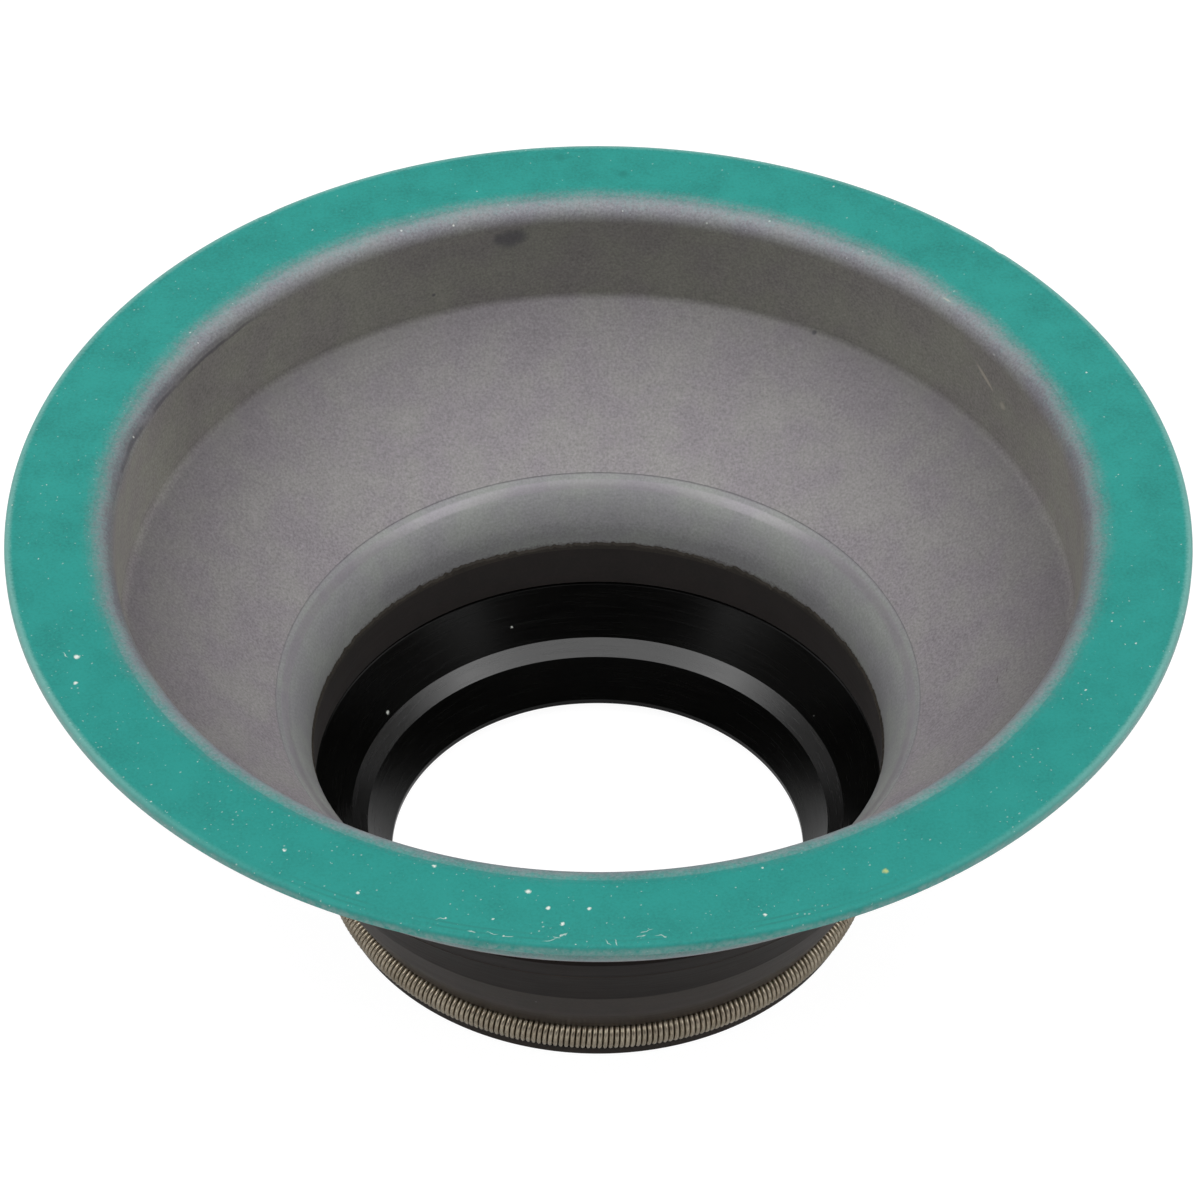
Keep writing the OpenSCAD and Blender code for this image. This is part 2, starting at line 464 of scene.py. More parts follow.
# Where the spray of the sealant thins out: on the flange towards the bend, and down the press-fit wall
SPRAY_R = (35.6, 38.15)
SPRAY_Z = (25.8, 29.1)
SPRAY_OFF_CENTRE = 0.2
SPRAY_DRIFT_SIZE = 2.5
SPRAY_DRIFT = 0.9
SPRAY_SPECKLE_SIZE = 0.24
SPRAY_SPECKLE = 1.8
FRAY_FROM = (0.0, 0.25)
FRAY_TO = (0.7, 0.3)
FRAY_STRENGTH = 0.18
GREEN_GRAIN = 1.2
GREEN_CLOUD = 0.9
GREEN_DEPTH = (-0.6, 0.3)


def sealant_spray():
    """Green sealant sprayed over a bare colour, with a soft speckled edge and a pale fray along it."""
    tree, bench, given, results = effect(
        "sealant_spray", {"Bare": BLACK, "Radius": NUMBER, "Height": NUMBER, "Back": NUMBER, "Place": ORIGIN,
                          "Grain": NUMBER, "Cloud": NUMBER}, {"Colour": BLACK})
    drift = bench.cloud(given["Place"], SPRAY_DRIFT_SIZE)
    speckle = bench.cloud(given["Place"], SPRAY_SPECKLE_SIZE, roughness=0.7)
    stray = bench.plus(bench.times(drift, SPRAY_DRIFT), bench.times(speckle, SPRAY_SPECKLE))
    reach = bench.plus(given["Radius"], bench.times(given["Back"], -SPRAY_OFF_CENTRE), stray)
    on_top = bench.rise(reach, *SPRAY_R)
    on_wall = bench.rise(bench.plus(given["Height"], stray), *SPRAY_Z)
    outside = bench.sum("GREATER_THAN", given["Radius"], wall_out - SHEET_T / 4)
    upper = bench.sum("GREATER_THAN", given["Height"], face_z - SHEET_T - SEALANT_T / 2)
    below = bench.times(bench.sum("SUBTRACT", 1.0, upper), outside, on_wall)
    cover = bench.plus(bench.times(upper, on_top), below)
    fray = bench.times(bench.rise(cover, *FRAY_FROM), bench.rise(cover, *FRAY_TO), FRAY_STRENGTH)
    depth = bench.plus(bench.times(given["Grain"], GREEN_GRAIN), bench.times(given["Cloud"], GREEN_CLOUD))
    green = bench.tint(bench.rise(depth, *GREEN_DEPTH), SEALANT_DEEP, SEALANT_GREEN)
    bench.put(results["Colour"], bench.tint(cover, bench.tint(fray, given["Bare"], FRAY_WHITE), green))
    return tree


STEEL_LINE_SIZE = 0.25
STEEL_CLOUD = 0.4
STEEL_HUE = (-0.15, 0.15)
STEEL_ROUGH = 0.12


def steel_skin():
    """Phosphated sheet steel: a colour with fine grain, faint drawn lines and a slow change of hue."""
    tree, bench, given, results = effect(
        "steel_skin", {"Colour": BLACK, "Turned": ORIGIN, "Grain": NUMBER, "Cloud": NUMBER, "Depth": NUMBER,
                       "Lines": NUMBER, "Roughness": NUMBER}, {"Colour": BLACK, "Roughness": NUMBER})
    lines = bench.cloud(given["Turned"], STEEL_LINE_SIZE, roughness=0.65)
    tone = bench.plus(1.0, bench.times(given["Grain"], given["Depth"]),
                      bench.times(given["Cloud"], STEEL_CLOUD), bench.times(lines, given["Lines"]))
    bare = bench.brighten(given["Colour"], tone)
    hue = bench.rise(given["Cloud"], *STEEL_HUE)
    bench.give(results, {
        "Colour": bench.tint(hue, bench.brighten(bare, LILAC_CAST), bench.brighten(bare, OLIVE_CAST)),
        "Roughness": bench.plus(bench.times(given["Grain"], STEEL_ROUGH), given["Roughness"])})
    return tree


# The film of rubber on the throat, and the painted shade that darkens the throat above it, by the height over
# the flash
FILM_RAGGED = 0.8
FILM_Z = (flash_top + 0.3, flash_top - 0.1, 0.6)
THROAT_SHADE_Z = (flash_top + 2.6, flash_top + 0.7, -0.3)
THROAT_SHADE_SIDE = (0.5, 1.0, -0.5)


def rubber_film():
    """A throat's colour with painted shade that darkens it towards the flash, less so at the sides, and a
    thin film of the rubber above the flash.
    """
    tree, bench, given, results = effect(
        "rubber_film", {"Colour": BLACK, "Height": NUMBER, "Side": NUMBER, "Grain": NUMBER},
        {"Colour": BLACK})
    film = bench.plus(given["Height"], bench.times(given["Grain"], FILM_RAGGED))
    # Painted shade: darker towards the flash, less so at the sides
    throat_shade = bench.times(bench.rise(film, *THROAT_SHADE_Z), bench.plus(1.0, bench.rise(given["Side"], *THROAT_SHADE_SIDE)))
    shaded_throat = bench.brighten(given["Colour"], bench.plus(1.0, throat_shade))
    bench.put(results["Colour"], bench.tint(bench.rise(film, *FILM_Z), shaded_throat, FILM_OLIVE))
    return tree


RUBBER_LINE_SIZE = 0.22
RUBBER_TONE = (-0.6, 0.7)
RUBBER_DUST = 0.3
RUBBER_ROUGH = 0.2
RUBBER_GRAIN_HEIGHT = 0.5


def rubber_skin():
    """Black rubber: a moulded or trimmed skin with faint turned lines and a few specks."""
    tree, bench, given, results = effect(
        "rubber_skin", {"Dark": BLACK, "Pale": BLACK, "Turned": ORIGIN, "Grain": NUMBER, "Cloud": NUMBER,
                        "Specks": NUMBER, "Roughness": NUMBER, "Line depth": NUMBER},
        {"Colour": BLACK, "Roughness": NUMBER, "Height": NUMBER})
    lines = bench.cloud(given["Turned"], RUBBER_LINE_SIZE, detail=3.0, roughness=0.6)
    tone = bench.plus(given["Grain"], given["Cloud"], lines)
    colour = bench.tint(bench.rise(tone, *RUBBER_TONE), given["Dark"], given["Pale"])
    bench.give(results, {
        "Colour": bench.tint(bench.times(given["Specks"], RUBBER_DUST), colour, DUST_WHITE),
        "Roughness": bench.plus(bench.times(lines, RUBBER_ROUGH), given["Roughness"]),
        "Height": bench.plus(bench.times(lines, given["Line depth"]),
                             bench.times(given["Grain"], RUBBER_GRAIN_HEIGHT))})
    return tree


PLACE_ON_SEAL = place_on_seal()
FINE_GRAIN = fine_grain()
DUST = dust()
SINGLE_SPOT = single_spot()
SINGLE_STREAK = single_streak()
SEALANT_SPRAY = sealant_spray()
STEEL_SKIN = steel_skin()
RUBBER_FILM = rubber_film()
RUBBER_SKIN = rubber_skin()


def finish(name, grain_size, cloud_size, **constants):
    """A new material with its bench, its shader, the place on the seal and the grain there. Constants go
    straight onto the shader's sockets."""
    material = bpy.data.materials.new(name)
    material.use_nodes = True
    bench = Bench(material.node_tree)
    shader = material.node_tree.nodes["Principled BSDF"]
    for label, value in constants.items():
        shader.inputs[label.replace("_", " ")].default_value = value
    spot = bench.use(PLACE_ON_SEAL)
    grain = bench.use(FINE_GRAIN, Place=spot["Place"], Grain_size=grain_size, Cloud_size=cloud_size)
    return material, bench, shader.inputs, spot, grain


def around(degrees, radius, height):
    """A place on the seal in millimetres."""
    angle = math.radians(degrees)
    return (radius * math.cos(angle), radius * math.sin(angle), height)


def along_turn(degrees, lean=0):
    """The direction round the axis at an angle, leaning up by some degrees."""
    lean = math.radians(lean)
    return around(degrees + 90, math.cos(lean), math.sin(lean))


def spotted(bench, place, colour, ink, strength, spots):
    """A colour with soft round spots on it. A spot is (place, reach)."""
    total = 0.0
    for spot, reach in spots:
        mark = bench.use(SINGLE_SPOT, Place=place, Spot=spot, Reach=reach)
        total = bench.sum("MAXIMUM", total, mark["Mask"])
    return bench.tint(bench.times(total, strength), colour, ink)


def streaked(bench, place, colour, ink, strength, streaks):
    """A colour with thin streaks on it. A streak is (place, reach, direction, stretch)."""
    total = 0.0
    for spot, reach, direction, stretch in streaks:
        mark = bench.use(SINGLE_STREAK, Place=place, Spot=spot, Reach=reach, Along=direction, Stretch=stretch)
        total = bench.sum("MAXIMUM", total, mark["Mask"])
    return bench.tint(bench.times(total, strength), colour, ink)


def sprayed(bench, spot, grain, bare):
    """A bare colour with the sealant sprayed over it."""
    return bench.use(SEALANT_SPRAY, Bare=bare, Radius=spot["Radius"], Height=spot["Height"],
                     Back=spot["Back"], Place=spot["Place"], Grain=grain["Grain"],
                     Cloud=grain["Cloud"])["Colour"]


# The steel inside the funnel: painted shade on the cone and the wall, painted light on the wall's sides and
# corner, and a painted highlight on the flange's bend
CONE_SHADE_R = (24.0, 38.0, 0.28)
CONE_SIDE_SHADE_R = (28.0, 34.0, 0.06)
# Painted shade on the cone along the wall's foot, with a ragged edge, towards the sides
SHADE_R = (34.3, 35.6, 0.11)
SHADE_RAGGED = 1.6
SHADE_SIDE_FROM = (0.2, 0.7)
SHADE_SIDE_TO = (0.96, 0.8)
# The wall in painted shade, made lighter by painted light towards the sides, more at their ends and at the
# left, and darker towards its top
WALL_TONE = 1.1
WALL_LIGHT_SIDE = (0.1, 0.9, 0.36)
WALL_LIGHT_END = (0.88, 1.0, 0.25)
WALL_LIGHT_LEFT = (-0.88, -0.99, 0.25)
WALL_DIM_Z = (28.0, 34.5, -0.16)
WALL_FOOT_Z = wall_corner_z - 0.3
WALL_FOOT_SIDE = -0.4
WALL_FULL_Z = wall_land_z + 0.1
WALL_FULL_SIDE = 0.6
# Painted light on a band at the wall's corner, towards the sides
CORNER_Z = wall_corner_z + 0.2
CORNER_W = 0.8
CORNER_LIGHT_SIDE = (0.6, 0.95, 0.12)
# Painted highlight on the flange's bend, fading towards the sides
BEND_HIGHLIGHT_TONE = 1.12
BEND_HIGHLIGHT_SIDE = (0.8, 1.0, -0.3)
BEND_Z = (face_z - FLANGE_BEND_R - 0.3, face_z - 0.3)

# Marks that years on a shelf have left there: dark smudges and specks, dark scratches, pale rubs
STEEL_SMUDGES = ((around(100.4, wall_in, 33.8), 1.1), (around(101.4, wall_in, 33.65), 1.3),
                 (around(102.5, wall_in, 33.75), 0.9))
STEEL_SPECKS = ((around(111.5, wall_in, 29.4), 0.24), (around(61.4, 35.4, 27.3), 0.28))
STEEL_SCRATCHES = ((around(-7.1, 30.0, 23.0), 0.10, along_turn(-7.1), 0.97),
                   (around(-6.2, 30.6, 23.5), 0.08, along_turn(-20), 0.98))
STEEL_RUBS = ((around(33.7, wall_in, 32.5), 0.26, along_turn(33.7, 29), 0.977),
              (around(42.8, 36.4, face_z - 0.12), 0.12, along_turn(42.8), 0.96))
STEEL_BLOBS = ((around(29.8, wall_in, 31.4), 0.5),)

# How they are drawn: the way, the ink, its strength and the marks, with edges torn by the grain
STEEL_MARKS = (
    (spotted, SMUDGE_BLUE, 0.6, STEEL_SMUDGES), (spotted, SMUDGE_BLUE, 0.7, STEEL_SPECKS),
    (streaked, SCRATCH_BROWN, 0.7, STEEL_SCRATCHES), (streaked, RUB_PALE, 0.8, STEEL_RUBS),
    (spotted, RUB_PALE, 0.6, STEEL_BLOBS))
STEEL_TEAR = 0.12

# The dark strokes of old oil along the foot of the flange's bend, at the left
STROKE_FROM = math.radians(134)
STROKE_TO = math.radians(180)
STROKE_FADE = math.radians(9)
STROKE_Z = face_z - FLANGE_BEND_R + 0.05
STROKE_CLIMB = 0.75
STROKE_W = 0.26
STROKE_GAP = 0.4
STROKE_WANDER_SIZE = 2.0
STROKE_WANDER = 0.5
STROKE_BREAKS = (-0.25, 0.1)
STROKE_UPPER = 0.55
STROKE_STRENGTH = 0.7

# Painted glints: bright specks of highlight on the flange's bend
GLINT_Z = (face_z - 1.2, face_z - 0.5)
GLINT_R = (38.0, 36.8)
GLINT_BACK = (0.0, 0.9, 0.3)
GLINT_STRENGTH = 0.7


def case_colour(bench, spot, grain):
    """The funnel's inside: grey cone with painted shade darkening it towards the wall, a brown-grey wall in
    painted shade that painted light makes lighter towards the sides, and a lilac bend in painted highlight.
    """
    radius, height, side = spot["Radius"], spot["Height"], spot["Side"]
    # Painted shade on the cone: darker towards the wall, more so at the sides, and along the wall's foot
    cone_shade = bench.plus(bench.rise(radius, *CONE_SHADE_R), bench.times(side, bench.rise(radius, *CONE_SIDE_SHADE_R)))
    ragged = bench.plus(radius, bench.times(grain["Grain"], SHADE_RAGGED))
    shade = bench.times(bench.rise(ragged, *SHADE_R), bench.rise(side, *SHADE_SIDE_FROM),
                        bench.rise(side, *SHADE_SIDE_TO))
    cone = bench.brighten(STEEL_GREY, bench.sum("SUBTRACT", 1.0, bench.plus(cone_shade, shade)))
    # Painted light and shade on the wall
    wall_light_and_shade = bench.plus(WALL_TONE, bench.rise(side, *WALL_LIGHT_SIDE), bench.rise(side, *WALL_LIGHT_END),
                      bench.rise(spot["Right"], *WALL_LIGHT_LEFT), bench.rise(height, *WALL_DIM_Z))
    wall = bench.brighten(WALL_SHADE_GREY, wall_light_and_shade)
    foot = bench.plus(WALL_FOOT_Z, bench.times(side, WALL_FOOT_SIDE))
    full = bench.plus(WALL_FULL_Z, bench.times(side, WALL_FULL_SIDE))
    inside = bench.tint(bench.rise(height, foot, full), cone, wall)
    # Painted light at the wall's corner
    corner_light = bench.times(bench.band(height, CORNER_Z, CORNER_W), bench.rise(side, *CORNER_LIGHT_SIDE))
    inside = bench.brighten(inside, bench.plus(1.0, corner_light))
    # Painted highlight on the bend
    bend = bench.brighten(FILLET_HIGHLIGHT_LILAC, bench.plus(BEND_HIGHLIGHT_TONE, bench.rise(side, *BEND_HIGHLIGHT_SIDE)))
    return bench.tint(bench.rise(height, *BEND_Z), inside, bend)


def oil_strokes(bench, spot):
    """Where a dark stroke lies along the foot of the flange's bend, and a fainter one above it."""
    angle = spot["Angle"]
    wander = bench.cloud(spot["Place"], STROKE_WANDER_SIZE)
    climb = bench.rise(angle, STROKE_FROM + STROKE_FADE, STROKE_TO - STROKE_FADE, STROKE_CLIMB)
    line = bench.plus(STROKE_Z, climb, bench.times(wander, STROKE_WANDER))
    lower = bench.band(spot["Height"], line, STROKE_W)
    upper = bench.band(spot["Height"], bench.plus(line, STROKE_GAP), STROKE_W)
    ends = bench.times(bench.rise(angle, STROKE_FROM, STROKE_FROM + STROKE_FADE),
                       bench.rise(angle, STROKE_TO, STROKE_TO - STROKE_FADE))
    both = bench.plus(lower, bench.times(upper, STROKE_UPPER))
    return bench.times(both, ends, bench.rise(wander, *STROKE_BREAKS), STROKE_STRENGTH)


def steel_finish(name, colour, over, depth, roughness, metallic, lines):
    """Sheet steel of a colour, or of one that a function gives, with what the function over lays on it."""
    material, bench, shader, spot, grain = finish(name, grain_size=0.2, cloud_size=4.0, Metallic=metallic)
    plain = colour(bench, spot, grain) if callable(colour) else colour
    skin = bench.use(STEEL_SKIN, Colour=plain, Turned=spot["Turned"], Grain=grain["Grain"],
                     Cloud=grain["Cloud"], Depth=depth, Lines=lines, Roughness=roughness)
    bench.put(shader["Base Color"], over(bench, spot, grain, skin["Colour"]))
    bench.put(shader["Roughness"], skin["Roughness"])
    return material


def marked(bench, spot, grain, bare):
    """The marks on the funnel's inside, the painted glints on the flange's bend, and the stray sealant over
    them.
    """
    torn = bench.shoved(spot["Place"], grain["Grain"], STEEL_TEAR)
    for draw, ink, strength, marks in STEEL_MARKS:
        bare = draw(bench, torn, bare, ink, strength, marks)
    bare = bench.tint(oil_strokes(bench, spot), bare, STROKE_LILAC)
    bend = bench.times(bench.rise(spot["Height"], *GLINT_Z), bench.rise(spot["Radius"], *GLINT_R))
    share = bench.rise(spot["Back"], *GLINT_BACK)
    glints = bench.use(DUST, Place=spot["Place"], Spacing=0.6, Speck=0.13, Share=share)["Mask"]
    # Painted glints on the bend
    bare = bench.tint(bench.times(glints, bend, GLINT_STRENGTH), bare, DUST_WHITE)
    return sprayed(bench, spot, grain, bare)


def filmed(bench, spot, grain, bare):
    """The throat with the film of rubber and the painted shade on it."""
    return bench.use(RUBBER_FILM, Colour=bare, Height=spot["Height"], Side=spot["Side"],
                     Grain=grain["Grain"])["Colour"]


# The sealant: where painted shade darkens it at the front, where it is thinner or worn, and the dust on it
SEALANT_BARE_TONE = 1.1
FRONT = (0.4, -0.7)
FRONT_SHADE = 0.4
LEFT = (0.2, -0.9)
WORN_R = (rim - 0.55, rim - 0.1)
WORN_RAGGED = 0.3
WORN_BACK = (-0.95, -0.45, 0.45)
RIM_SIDE_R = (rim - 0.06, rim + 0.08)
RIM_SIDE_Z = (face_z + 0.1, face_z - 0.5)
RIM_DUST_SIZE = 0.5
RIM_DUST = (-0.3, 0.25, 0.8)
DUST_SHARE = 0.05
DUST_SHARE_FRONT = 0.16
DUST_SHARE_LEFT = 0.1
SPECK_STRENGTH = 0.6
MOTE_STRENGTH = 0.3
MOTES_TO_SPECKS = 2.6
SEALANT_TEAR = 0.3
SEALANT_ROUGHNESS = 0.5
SEALANT_ROUGH = 0.2

# Thin dark lines of painted shade near the front of the rim
RIM_SHADE_LINES = (42.45, 42.9)
RIM_SHADE_W = 0.14
RIM_SHADE_BACK = (-0.8, -0.97)
RIM_SHADE_BREAKS = (-0.15, 0.1)
RIM_SHADE_STRENGTH = 0.7

# Flakes, smudges and dots on it (angle, radius, reach), and hairs (with a lean and a stretch) and their curl
SEALANT_FLAKES = (
    (-157.6, 40.2, 0.30), (-97.0, 38.6, 0.26), (-94.8, 40.0, 0.2), (-90.8, 39.9, 0.18), (-93.3, 41.4, 0.2),
    (-122.0, 40.6, 0.2), (-107.3, 37.6, 0.22), (-74.3, 42.0, 0.18), (-154.1, 41.2, 0.2), (-113.0, 41.8, 0.18))
SEALANT_SMUDGES = ((94.3, 42.0, 0.7), (87.3, 39.8, 0.6))
SEALANT_DOTS = ((-61.5, 41.3, 0.3),)
SEALANT_HAIRS = (
    (-93.2, 42.5, 0.07, 55, 0.985), (-94.3, 43.0, 0.06, 15, 0.99), (-93.8, 42.8, 0.05, -20, 0.985),
    (-89.0, 42.9, 0.06, -30, 0.985), (-88.1, 43.0, 0.06, -60, 0.98), (-85.5, 42.0, 0.06, 22, 0.99),
    (-86.0, 42.5, 0.05, 18, 0.985), (-84.2, 42.6, 0.05, 8, 0.985), (-98.1, 42.9, 0.06, 5, 0.985),
    (-99.6, 42.8, 0.06, -12, 0.985), (-101.5, 42.9, 0.05, -10, 0.985), (-104.6, 42.2, 0.06, 20, 0.985),
    (-158.4, 41.0, 0.05, 15, 0.985))
SMUDGE_STRENGTH = 0.6
FLAKE_STRENGTH = 0.85
DOT_STRENGTH = 0.7
HAIR_STRENGTH = 0.42
CURL_SIZE = 0.8
CURL = 1.0
SIDEWAYS = (1.0, 1.0, 0.0)


def on_flange(spots):
    """Round spots that lie on the flange."""
    return [(around(degrees, radius, flange_z), reach) for degrees, radius, reach in spots]


def along_flange(streaks):
    """Streaks that lie on the flange."""
    return [(around(degrees, radius, flange_z), reach, along_turn(degrees + lean), stretch)
            for degrees, radius, reach, lean, stretch in streaks]


def curled(bench, place):
    """A place shoved about sideways, so that streaks drawn by it are curled."""
    inputs = {"Vector": place, "Scale": 1 / CURL_SIZE, "Detail": NOISE_DETAIL}
    lumps = bench.lay("ShaderNodeTexNoise", inputs).outputs["Color"]
    about = bench.vector("SUBTRACT", lumps, (NOISE_MIDDLE,) * 3)
    shove = bench.vector("SCALE", bench.vector("MULTIPLY", about, SIDEWAYS), CURL)
    return bench.vector("ADD", place, shove)


def sealant_finish():
    """Sprayed sealant: matt green with a faint mottle, dust, hairs and thin places at its edges, painted
    shade over its front, and lines of painted shade near the front of its rim.
    """
    material, bench, shader, spot, grain = finish(
        "green_sealant", grain_size=0.22, cloud_size=4.0, Specular_IOR_Level=0.22)
    place, radius, back = spot["Place"], spot["Radius"], spot["Back"]
    # The bare steel at the sealant's edge takes the bend's painted highlight
    bare = bench.brighten(FILLET_HIGHLIGHT_LILAC, bench.plus(SEALANT_BARE_TONE, grain["Grain"]))
    front = bench.rise(back, *FRONT)
    left = bench.rise(spot["Right"], *LEFT)
    # Painted shade: a deeper green over the front of the sealant
    colour = bench.tint(bench.times(front, FRONT_SHADE), sprayed(bench, spot, grain, bare), SEALANT_FRONT_SHADE)
    ragged = bench.plus(radius, bench.times(grain["Grain"], WORN_RAGGED))
    worn = bench.times(bench.rise(ragged, *WORN_R), bench.rise(back, *WORN_BACK))
    colour = bench.tint(worn, colour, SEALANT_WORN)
    rim_side = bench.times(bench.rise(radius, *RIM_SIDE_R), bench.rise(spot["Height"], *RIM_SIDE_Z))
    dusty = bench.rise(bench.cloud(place, RIM_DUST_SIZE, roughness=0.7), *RIM_DUST)
    colour = bench.tint(bench.times(rim_side, dusty), colour, SEALANT_THIN)
    # Painted shade: dark lines near the front of the rim, broken here and there
    broken = bench.times(bench.rise(back, *RIM_SHADE_BACK), bench.rise(grain["Cloud"], *RIM_SHADE_BREAKS))
    for line in RIM_SHADE_LINES:
        faint = bench.times(bench.band(radius, line, RIM_SHADE_W), broken, RIM_SHADE_STRENGTH)
        colour = bench.tint(faint, colour, SEALANT_DEEP)
    share = bench.plus(DUST_SHARE, bench.times(front, DUST_SHARE_FRONT), bench.times(left, DUST_SHARE_LEFT))
    more = bench.times(share, MOTES_TO_SPECKS)
    torn = bench.shoved(place, grain["Grain"], SEALANT_TEAR)
    specks = bench.use(DUST, Place=torn, Spacing=0.8, Speck=0.11, Share=share)["Mask"]
    motes = bench.use(DUST, Place=torn, Spacing=0.42, Speck=0.09, Share=more)["Mask"]
    flecks = bench.sum("MAXIMUM", bench.times(specks, SPECK_STRENGTH), bench.times(motes, MOTE_STRENGTH))
    colour = bench.tint(flecks, colour, DUST_WHITE)
    colour = spotted(bench, torn, colour, SEALANT_DEEP, SMUDGE_STRENGTH, on_flange(SEALANT_SMUDGES))
    colour = spotted(bench, torn, colour, DUST_WHITE, FLAKE_STRENGTH, on_flange(SEALANT_FLAKES))
    hairs = along_flange(SEALANT_HAIRS)
    colour = streaked(bench, curled(bench, place), colour, DUST_WHITE, HAIR_STRENGTH, hairs)
    colour = spotted(bench, torn, colour, SEALANT_YELLOW, DOT_STRENGTH, on_flange(SEALANT_DOTS))
    bench.put(shader["Base Color"], colour)
    bench.put(shader["Roughness"], bench.plus(bench.times(grain["Grain"], SEALANT_ROUGH), SEALANT_ROUGHNESS))
    return material


RUBBER_BUMP = 0.015
NIB_TEAR = 0.2
NIB_STRENGTH = 0.6


def rubber_finish(name, dark, pale, roughness, line_depth, specular, nibs=()):
    """Black rubber between two tones. Nibs are pale spots that stick to it."""
    material, bench, shader, spot, grain = finish(
        name, grain_size=0.22, cloud_size=3.0, Specular_IOR_Level=specular)
    specks = bench.use(DUST, Place=spot["Place"], Spacing=2.4, Speck=0.14, Share=0.12)["Mask"]
    skin = bench.use(RUBBER_SKIN, Dark=rgb(*dark), Pale=rgb(*pale), Turned=spot["Turned"],
                     Grain=grain["Grain"], Cloud=grain["Cloud"], Specks=specks, Roughness=roughness,
                     Line_depth=line_depth)
    colour = skin["Colour"]
    if nibs:
        torn = bench.shoved(spot["Place"], grain["Grain"], NIB_TEAR)
        colour = spotted(bench, torn, colour, DUST_WHITE, NIB_STRENGTH, nibs)
    bench.put(shader["Base Color"], colour)
    bench.put(shader["Roughness"], skin["Roughness"])
    bump = {"Height": skin["Height"], "Strength": RUBBER_BUMP, "Distance": MM}
    bench.put(shader["Normal"], bench.lay("ShaderNodeBump", bump).outputs["Normal"])
    return material


WIRE_TONE = (-0.6, 0.6)
WIRE_ROUGHNESS = 0.33
WIRE_ROUGH = 0.2


def spring_finish():
    """Drawn spring wire: warm grey, in places dull and in places bright."""
    material, bench, shader, _, grain = finish("spring_wire", grain_size=0.14, cloud_size=1.5, Metallic=1.0)
    tone = bench.rise(bench.plus(grain["Grain"], grain["Cloud"]), *WIRE_TONE)
    bench.put(shader["Base Color"], bench.tint(tone, WIRE_DULL, WIRE_BRIGHT))
    bench.put(shader["Roughness"], bench.plus(bench.times(grain["Grain"], WIRE_ROUGH), WIRE_ROUGHNESS))
    return material


BLASTED_STEEL = steel_finish(
    "blasted_steel", case_colour, marked, depth=1.15, roughness=0.6, metallic=0.15, lines=0.1)
CREASED_STEEL = steel_finish(
    "creased_steel", CREASE_GREY, filmed, depth=0.7, roughness=0.6, metallic=0.1, lines=0.15)
BURNISHED_STEEL = steel_finish(
    "burnished_steel", BAND_GREY, filmed, depth=0.45, roughness=0.34, metallic=0.25, lines=0.1)
DRAWN_STEEL = steel_finish(
    "drawn_steel", THROAT_GREY, filmed, depth=0.7, roughness=0.5, metallic=0.15, lines=0.15)
OUTER_STEEL = steel_finish(
    "outer_steel", OUTER_GREY, sprayed, depth=1.0, roughness=0.6, metallic=0.15, lines=0.1)
GREEN_SEALANT = sealant_finish()
FLASH_RUBBER = rubber_finish(
    "flash_rubber", (34, 30, 25), (54, 48, 41), roughness=0.6, line_depth=0.3, specular=0.25)
LINING_RUBBER = rubber_finish(
    "lining_rubber", (21, 16, 14), (35, 28, 26), roughness=0.6, line_depth=0.3, specular=0.25)
FLEX_RUBBER = rubber_finish(
    "flex_rubber", (1, 1, 1), (4, 4, 3), roughness=0.25, line_depth=0.3, specular=0.14,
    nibs=((around(148.9, 19.3, 6.0), 0.2), (around(110.1, 20.0, 6.9), 0.15)))
LEDGE_RUBBER = rubber_finish(
    "ledge_rubber", (10, 10, 10), (16, 16, 16), roughness=0.25, line_depth=0.2, specular=0.7)
MOULDED_RUBBER = rubber_finish(
    "moulded_rubber", (17, 11, 9), (28, 20, 17), roughness=0.42, line_depth=0.2, specular=0.06)
HEAD_RUBBER = rubber_finish(
    "head_rubber", (34, 27, 22), (52, 43, 38), roughness=0.4, line_depth=0.2, specular=0.22)
SPRING_WIRE = spring_finish()

# Small marks of making and wear, in millimetres: dents in the rim (angle, depth, width), the witness line
# where the cone meets the throat's bend and which points of that bend begin and end its burnished band, the
# sealant's thin ends, the torn flash with its lumps (size, share), the heel's trimmed groove and the parting
# ridge round the sleeve
RIM_NICKS = ((44.5, 0.10, 0.35), (126.6, 0.06, 0.5))
CREASE_DEPTH = 0.028
CREASE_W = 0.15
BAND_FROM = 1
BAND_TO = 3
FEATHER = 0.5
FLASH_H = 0.5
FLASH_RAGGED = 0.27
FLASH_LUMPS = ((3.0, 0.6), (0.8, 0.5), (0.33, 1.0))
HEEL_GROOVE = 0.18
RIDGE_Z = 13.1
RIDGE_H = 0.05
RIDGE_W = 0.14


def nicked(r, z, angle):
    """Small dents in the rim of the flange."""
    if r < rim - 2 * RIM_R:
        return r, z
    for degrees, depth, width in RIM_NICKS:
        away = (angle - math.radians(degrees)) * rim / width
        r -= depth * math.exp(-away * away)
    return r, z


def torn_flash(r, z, angle):
    """The ragged upper edge of the rubber that lines the throat."""
    if abs(z - flash_top + LINING_T / 2) > LINING_T or r > throat + LINING_T / 2:
        return r, z
    spot = Vector((math.cos(angle), math.sin(angle), 0)) * throat
    rough = sum(share * noise.noise(spot / size) for size, share in FLASH_LUMPS)
    return r, z + FLASH_RAGGED * rough


